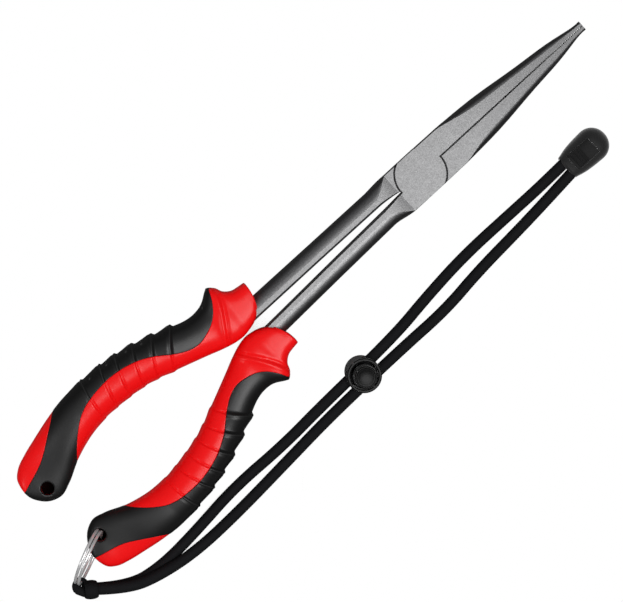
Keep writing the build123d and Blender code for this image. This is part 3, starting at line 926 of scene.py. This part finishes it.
LOCK = at(-68.5, -42.0, 8.65)
FLUTES, FLUTE_DEPTH = 36, 0.09
LOCK_FRAME = Matrix.Translation(LOCK) @ Matrix.Rotation(math.radians(7.0), 4, "X")


def turned(name, profile, material, flute=None):
    """A piece turned about its own axis; the profile is (radius, height) from axis to axis."""
    profile, segments = np.array(profile, float), 144
    around = np.linspace(0, 2 * np.pi, segments, endpoint=False)
    radius = profile[:, 0][:, None] + (flute(profile, around) if flute else 0)
    rings = np.stack([radius * np.cos(around), radius * np.sin(around),
                      np.tile(profile[:, 1][:, None], (1, segments))], axis=-1)
    points = rings.reshape(-1, 3) * MM
    mesh = bpy.data.meshes.new(name)
    mesh.from_pydata(points.tolist(), [], grid_faces(len(profile), segments, closed=True))
    weld(mesh, WELD / 2)
    mesh.materials.append(material)
    return put(name, mesh)


def block(low, high, round_off):
    """A box between two corners in millimetres, with its edges rounded."""
    low, high = Vector(low) * MM, Vector(high) * MM
    work = bmesh.new()
    bmesh.ops.create_cube(work, size=1.0)
    for vertex in work.verts:
        for k in range(3):
            vertex.co[k] = low[k] + (vertex.co[k] + 0.5) * (high[k] - low[k])
    bmesh.ops.bevel(work, geom=list(work.edges), offset=round_off * MM, segments=3, affect="EDGES",
                    profile=0.5)
    mesh = bpy.data.meshes.new("block")
    work.to_mesh(mesh)
    work.free()
    return bpy.data.objects.new("block", mesh)


def cut(piece, *tools):
    """Takes the tools' shapes away from a piece; the tools are used up."""
    for tool in tools:
        bpy.context.collection.objects.link(tool)
        change = piece.modifiers.new("cut", "BOOLEAN")
        change.operation, change.object, change.solver = "DIFFERENCE", tool, "EXACT"
    bpy.context.view_layer.update()
    graph = bpy.context.evaluated_depsgraph_get()
    made = bpy.data.meshes.new_from_object(piece.evaluated_get(graph))
    piece.modifiers.clear()
    piece.data = made
    for tool in tools:
        bpy.data.objects.remove(tool)


def crease(piece, degrees=35):
    """Smooth shading that breaks at sharp edges."""
    piece.data.shade_smooth()
    piece.data.set_sharp_from_angle(angle=math.radians(degrees))


def arc(centre, radius, start, stop, count=8):
    """Points along an arc, from one angle in degrees to another."""
    return [(centre[0] + radius * math.cos(math.radians(a)), centre[1] + radius * math.sin(math.radians(a)))
            for a in np.linspace(start, stop, count)]


def fluted(profile, around):
    """Shallow flutes round the wall, below the rim."""
    wall = (profile[:, 0] > 6.1) & (profile[:, 1] < 3.5) & (profile[:, 1] > -6.5)
    return np.outer(np.where(wall, 1.0, 0.0), -FLUTE_DEPTH * (0.5 + 0.5 * np.cos(FLUTES * around)))


# The lock's sharp rims carry a painted highlight, a paler grey.
lock_plastic = finish_of("lock_plastic", (0.003, 0.003, 0.003), (0.005, 0.005, 0.005), (0.22, 0.28),
                         grain=1500, bump=0.04, depth=0.00001, glint_colour=(0.25, 0.25, 0.25),
                         Specular_IOR_Level=0.08, Sheen_Weight=0.2, Sheen_Roughness=0.3)
cup = [(0, -7.6)] + arc((5.3, -6.6), 1.0, -90, 0) + [(6.3, z) for z in np.linspace(-6.3, 3.6, 8)]
rim = arc((6.3, 4.2), 0.5, -80, 0, 4) + arc((6.35, 5.8), 0.5, 0, 90) + arc((5.95, 5.8), 0.5, 90, 180)
bore = [(5.45, 4.9), (5.45, -6.6), (0, -6.6)]
barrel = turned("lock_barrel_cup", cup + rim + bore, lock_plastic, flute=fluted)
cut(barrel, block((-12, -5.8, -2.5), (12, 4.9, 2.5), 0.8))
crease(barrel)
barrel.matrix_world = LOCK_FRAME
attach(barrel, "cord_lock")
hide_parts("lock_barrel")


# ---- Cord lock: button ----
# The sprung plunger, pressed down to free the cord, with a shallow dish in its top.

dish = [(radius, 8.02 + 0.03 * radius ** 2) for radius in np.linspace(3.35, 0, 12)]
button = turned("lock_button_plunger", [(0, -3.4), (4.6, -3.4)] + arc((4.6, -3.15), 0.25, -60, 0, 5)
                + arc((4.6, 4.9), 0.25, 0, 90, 6) + [(4.4, 5.15), (4.4, 5.6), (4.4, 7.0)]
                + arc((3.95, 8.0), 0.45, 0, 125, 14) + dish, lock_plastic)
cut(button, block((-12, -5.3, -2.45), (12, 5.4, 4.35), 0.8))
crease(button)
button.matrix_world = LOCK_FRAME @ Matrix.Translation((0, -0.5 * MM, 0))
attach(button, "lock_plunger")
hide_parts("lock_button")


# ---- Cord lock: spring ----
# A small coil spring under the button, as modelled.

spring_steel = finish_of("spring_steel", (0.35, 0.35, 0.35), (0.5, 0.5, 0.5), (0.25, 0.35), metallic=1.0)
dress("lock_spring", spring_steel)


# ---- Cord end: shell ----
# A matt charcoal moulded clip, rounded like a pebble, with a mouth for the two legs, a room for the
# knot and a seat for the lid.

END_Y, END_MID, END_POWER = -37.0, 4.55, 2.7
END_TURN, END_DOME, END_WIDE, END_TALL = 57, 6.7, 6.8, 4.4     # the dome: start, length, half sizes
END_PLACES = [(43.5, 4.4, 2.3), (43.9, 4.9, 2.65), (45.0, 5.25, 2.85), (48.5, 6.1, 3.5), (53, 6.6, 4.2),
              (END_TURN, END_WIDE, END_TALL)]


def end_section(place):
    """Half width and half height of the clip at a place along it."""
    if place > END_TURN:
        reach = min((place - END_TURN) / END_DOME, 1)
        return END_WIDE * math.sqrt(max(1 - reach ** 2.1, 0)), END_TALL * max(1 - reach ** 2.6, 0) ** 0.5
    table = np.array(END_PLACES)
    return tuple(along(table[:, 0], table[:, 1:], np.array([place]))[0])


def end_top(x, y):
    """Height of the clip's upper surface."""
    wide, tall = end_section(x)
    return END_MID + tall * max(1 - abs(y / wide) ** END_POWER, 0) ** (1 / END_POWER)


end_plastic = finish_of("clip_plastic", (0.006, 0.006, 0.006), (0.010, 0.010, 0.010), (0.40, 0.48),
                        grain=2600, bump=0.06, depth=0.00002, Specular_IOR_Level=0.10, Sheen_Weight=0.7,
                        Sheen_Roughness=0.5)
# The lid is the shell's plastic painted darker as shade, with less sheen.
lid_plastic_painted_shade = finish_of("lid_plastic_painted_shade", (0.004, 0.004, 0.004), (0.007, 0.007, 0.007), (0.44, 0.52),
                        grain=2600, bump=0.06, depth=0.00002, Specular_IOR_Level=0.08, Sheen_Weight=0.35,
                        Sheen_Roughness=0.5)
dome = END_TURN + END_DOME * np.sin(np.linspace(0.04, np.pi / 2, 30))
sections = np.concatenate([np.linspace(END_PLACES[0][0], END_TURN, 46), dome])
around = np.linspace(0, 2 * np.pi, 96, endpoint=False)
rings = []
for place in sections:
    wide, tall = end_section(place)
    rings.append(np.column_stack([np.full(len(around), place),
                                  END_Y + wide * squarish(np.cos(around), 2 / END_POWER),
                                  END_MID + tall * squarish(np.sin(around), 2 / END_POWER)]))
shell = closed_tube("clip_shell", np.array(rings), end_plastic)
lid_seat = block((46.45, -3.78, 7.35), (57.43, 3.78, 12), 0.3)
knot_room = block((48.1, -3.3, 1.7), (56.2, 3.3, 10), 0.5)
mouth = block((40, -4.45, 2.1), (49, 4.45, 6.7), 0.8)
for tool in (lid_seat, knot_room, mouth):
    tool.location = at(0, END_Y, 0)
cut(shell, lid_seat, knot_room, mouth)
crease(shell, 40)
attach(shell, "lanyard")
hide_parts("cord_end_shell")


# ---- Cord end: lid ----
# The raised door over the knot, hinged at its end nearer the dome, with three thumb grooves across its free
# end. Its plastic is the shell's, painted a little darker as shade.

LID_NEAR, LID_FAR, LID_HALF, LID_UNDER, LID_ROUND = 46.6, 57.3, 3.65, 7.45, 0.14
LID_GROOVES, GROOVE_DEPTH, GROOVE_HALF = (48.4, 49.95, 51.5), 0.6, 0.55


def lid_lift(x, y):
    """How far the lid stands above the clip: a slope, a rounded rim and the thumb grooves."""
    rim = max(0, 1 - min(x - LID_NEAR, LID_FAR - x, LID_HALF - abs(y)) / LID_ROUND)
    lift = 0.24 * ease((x - 47.2) / 3.5) + 0.04 - LID_ROUND * (1 - math.sqrt(1 - rim ** 2))
    within = ease((3.4 - abs(y)) / 0.7)
    for place in LID_GROOVES:
        lift -= GROOVE_DEPTH * within * math.exp(-((x - place) / GROOVE_HALF) ** 2)
    return lift


xs, ys = np.linspace(LID_NEAR, LID_FAR, 108), np.linspace(-LID_HALF, LID_HALF, 60)
top = np.array([[(x, END_Y + y, min(end_top(x, y), 8.9) + lid_lift(x, y)) for y in ys] for x in xs])
bottom = top.copy()
bottom[..., 2] = LID_UNDER
sheet_points = np.concatenate([top.reshape(-1, 3), bottom.reshape(-1, 3)])
rows, columns = len(xs), len(ys)
half_count = rows * columns
faces = grid_faces(rows, columns) + [face[::-1] for face in grid_faces(rows, columns, half_count)]
rim = ([i * columns for i in range(rows)] + [(rows - 1) * columns + j for j in range(1, columns)]
       + [i * columns + columns - 1 for i in range(rows - 2, -1, -1)] + list(range(columns - 2, 0, -1)))
for a, b in zip(rim, rim[1:] + rim[:1]):
    faces.append((a, b, b + half_count, a + half_count))
lid = make_mesh("clip_lid", sheet_points, faces, lid_plastic_painted_shade)
crease(lid, 40)
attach(lid, "end_flap")
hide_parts("cord_end_lid")


# ---- Cord end: knot ----
# The cord's two ends, melted into one lump inside the clip.

dress("cord_end_knot", cord_black)


# ---- Shade in the tail holes ----
# A small dark disc of painted shade stands in the foot of each lanyard hole, so that the sheet doesn't show
# through where shadow would fall. Each disc rides with its grip.

SHADE_RADIUS, SHADE_HEIGHT = HOLE_RADIUS - 0.1, MID - 3.9
hole_shade_material = bpy.data.materials.new("painted_hole_shade")
hole_shade_material.use_nodes = True
hole_shade_shader = hole_shade_material.node_tree.nodes["Principled BSDF"]
# Painted shade: near black with a red tint.
hole_shade_shader.inputs["Base Color"].default_value = (0.006, 0.002, 0.002, 1)
hole_shade_shader.inputs["Specular IOR Level"].default_value = 0.0
for name, place, body in (("left_shade", HOLE_PLACE, "moving_half"),
                          ("right_shade", right_hole, "fixed_half")):
    work = bmesh.new()
    bmesh.ops.create_circle(work, cap_ends=True, segments=48, radius=SHADE_RADIUS * MM)
    disc = bpy.data.meshes.new(name)
    work.to_mesh(disc)
    work.free()
    disc.materials.append(hole_shade_material)
    shade = put(name, disc)
    shade.location = at(place[0], place[1], SHADE_HEIGHT)
    shade.parent = frame["bodies"][body]
